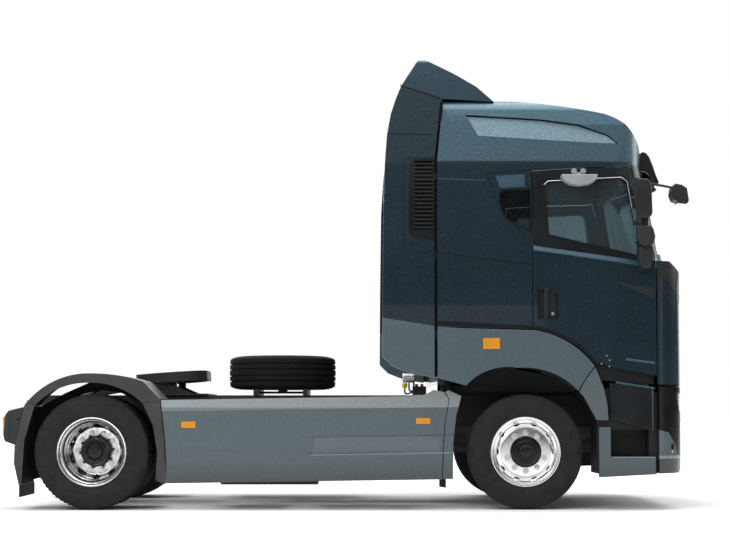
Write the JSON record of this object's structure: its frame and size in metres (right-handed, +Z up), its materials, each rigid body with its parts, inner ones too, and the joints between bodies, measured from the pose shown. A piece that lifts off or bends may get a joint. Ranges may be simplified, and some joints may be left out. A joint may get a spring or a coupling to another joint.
{
  "type": "semi truck tractor unit",
  "caption": "Cab-over semi truck tractor unit with a sleeper cab, roof air deflectors, side skirts, twin rear wheels, a fifth wheel and a spare wheel.",
  "frame": {"origin": "centre of the bounding box at the ground, under the wheels", "axes": "+X towards the front of the truck, +Y to its left side, +Z up"},
  "size_m": [6.0405, 2.98, 3.995],
  "materials": {
    "body_paint": "gloss metallic",
    "grey_paint": "satin",
    "dark_plastic": "grained",
    "chassis_black": "satin",
    "cast_metal": "rough",
    "wheel_metal": "polished",
    "bright_metal": "satin",
    "tyre_rubber": "matte",
    "tinted_glass": "clear",
    "lamp_glass": "clear",
    "amber_lamp": "gloss",
    "red_lamp": "gloss",
    "yellow_coupling": "gloss",
    "seat_fabric": "woven"
  },
  "bodies": {
    "chassis": {"front_axle": "chassis_black", "rear_axle": "chassis_black", "springs": "chassis_black", "chassis_frame": "chassis_black", "powertrain": "cast_metal", "step_panels": "dark_plastic", "lower_steps": "grey_paint", "step_liners": "dark_plastic", "front_bumper": "dark_plastic", "headlamps": "lamp_glass", "lower_bumper": "grey_paint", "radiator": "cast_metal", "side_skirts": "grey_paint", "skirt_brackets": "dark_plastic", "tanks": "bright_metal", "marker_lamps": "amber_lamp", "rear_mudguards": "dark_plastic", "tail_lamps": "red_lamp", "coupling_base": "chassis_black", "spare_tyre": "tyre_rubber", "spare_rim": "wheel_metal", "spare_carrier": "chassis_black", "air_couplings": "yellow_coupling"},
    "cab": {"cab_shell": "body_paint", "windscreen": "tinted_glass", "quarter_windows": "tinted_glass", "cab_floor": "dark_plastic", "grille": "dark_plastic", "roof_cap": "body_paint", "roof_spoiler": "body_paint", "side_deflectors": "body_paint", "sun_visor": "body_paint", "wheel_arches": "grey_paint", "seats": "seat_fabric", "bunk": "seat_fabric", "dashboard": "dark_plastic", "steering_wheel": "dark_plastic", "front_mirror": "dark_plastic", "cab_marker_lamps": "amber_lamp"},
    "fifth_wheel": {"fifth_wheel_plate": "chassis_black"},
    "door_body_left": {"door_left": "body_paint", "door_glass_left": "tinted_glass", "mirror_left": "dark_plastic"},
    "steering_knuckle_left": {"knuckle_left": "chassis_black"},
    "wheel_front_left": {"front_tyre_left": "tyre_rubber", "front_rim_left": "wheel_metal"},
    "wheel_rear_left": {"rear_tyres_left": "tyre_rubber", "rear_rims_left": "wheel_metal"},
    "door_body_right": {"door_right": "body_paint", "door_glass_right": "tinted_glass", "mirror_right": "dark_plastic"},
    "steering_knuckle_right": {"knuckle_right": "chassis_black"},
    "wheel_front_right": {"front_tyre_right": "tyre_rubber", "front_rim_right": "wheel_metal"},
    "wheel_rear_right": {"rear_tyres_right": "tyre_rubber", "rear_rims_right": "wheel_metal"}
  },
  "joints": [
    {"name": "cab_tilt", "type": "hinge", "parent": "chassis", "child": "cab", "pos_m": [2.816, 0, 0.65], "axis": [0, 1, 0], "range_deg": [0, 60]},
    {"name": "fifth_wheel_tip", "type": "hinge", "parent": "chassis", "child": "fifth_wheel", "pos_m": [-1.649, 0, 1.144], "axis": [0, 1, 0], "range_deg": [-8, 16]},
    {"name": "door_left_hinge", "type": "hinge", "parent": "cab", "child": "door_body_left", "pos_m": [2.681, 1.235, 1.9], "axis": [0, 0, 1], "range_deg": [-75, 0]},
    {"name": "steer_left", "type": "hinge", "parent": "chassis", "child": "steering_knuckle_left", "pos_m": [1.551, 0.93, 0.506], "axis": [0, 0, 1], "range_deg": [-40, 40]},
    {"name": "front_wheel_left_spin", "type": "hinge", "parent": "steering_knuckle_left", "child": "wheel_front_left", "pos_m": [1.551, 1.03, 0.506], "axis": [0, 1, 0], "continuous": true},
    {"name": "rear_wheel_left_spin", "type": "hinge", "parent": "chassis", "child": "wheel_rear_left", "pos_m": [-2.249, 0.915, 0.506], "axis": [0, 1, 0], "continuous": true},
    {"name": "door_right_hinge", "type": "hinge", "parent": "cab", "child": "door_body_right", "pos_m": [2.681, -1.235, 1.9], "axis": [0, 0, 1], "range_deg": [0, 75]},
    {"name": "steer_right", "type": "hinge", "parent": "chassis", "child": "steering_knuckle_right", "pos_m": [1.551, -0.93, 0.506], "axis": [0, 0, 1], "range_deg": [-40, 40]},
    {"name": "front_wheel_right_spin", "type": "hinge", "parent": "steering_knuckle_right", "child": "wheel_front_right", "pos_m": [1.551, -1.03, 0.506], "axis": [0, 1, 0], "continuous": true},
    {"name": "rear_wheel_right_spin", "type": "hinge", "parent": "chassis", "child": "wheel_rear_right", "pos_m": [-2.249, -0.915, 0.506], "axis": [0, 1, 0], "continuous": true}
  ],
  "couplings": [
    {"joint": "steer_right", "follows": "steer_left", "ratio": 1}
  ]
}
